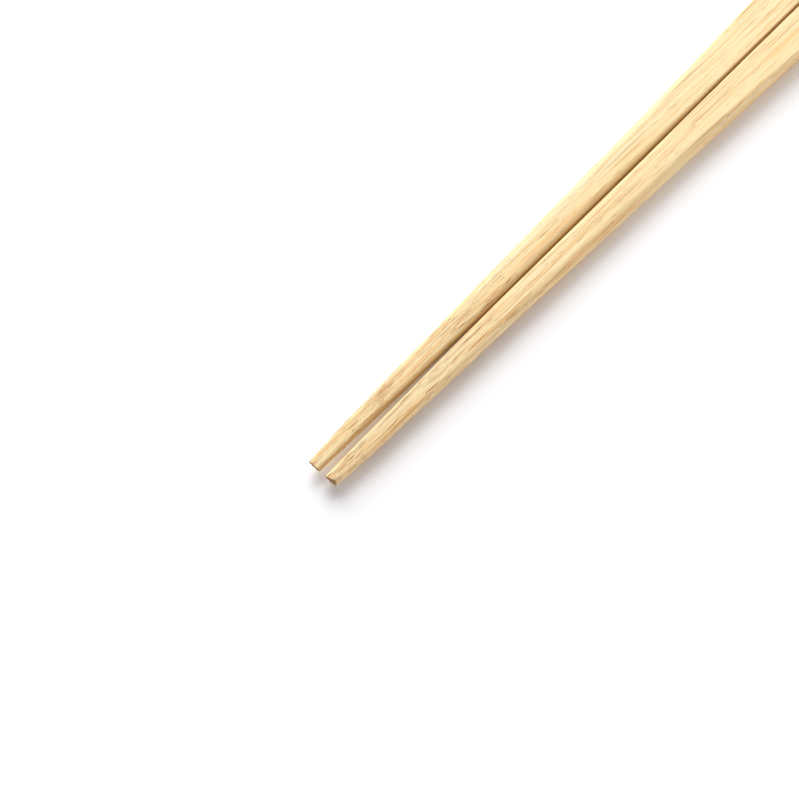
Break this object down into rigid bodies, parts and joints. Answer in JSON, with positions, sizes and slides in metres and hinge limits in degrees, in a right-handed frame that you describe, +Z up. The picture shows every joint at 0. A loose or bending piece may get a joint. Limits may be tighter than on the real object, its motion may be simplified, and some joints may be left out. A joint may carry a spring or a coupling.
{
  "type": "pair of unsplit wooden chopsticks",
  "caption": "Pair of tapered disposable chopsticks cut from one slip of pale wood, parted by a saw kerf and still joined at the head.",
  "frame": {"origin": "on the ground, below the middle of the pair's length and width", "axes": "+X from the tips to the head, +Y across the pair, +Z up from the flat part of the underside"},
  "size_m": [0.21, 0.0156, 0.0052],
  "materials": {
    "pale_wood": "matte, bare, fine-grained"
  },
  "bodies": {
    "root": {"chopstick_pair": "pale_wood"}
  },
  "joints": []
}
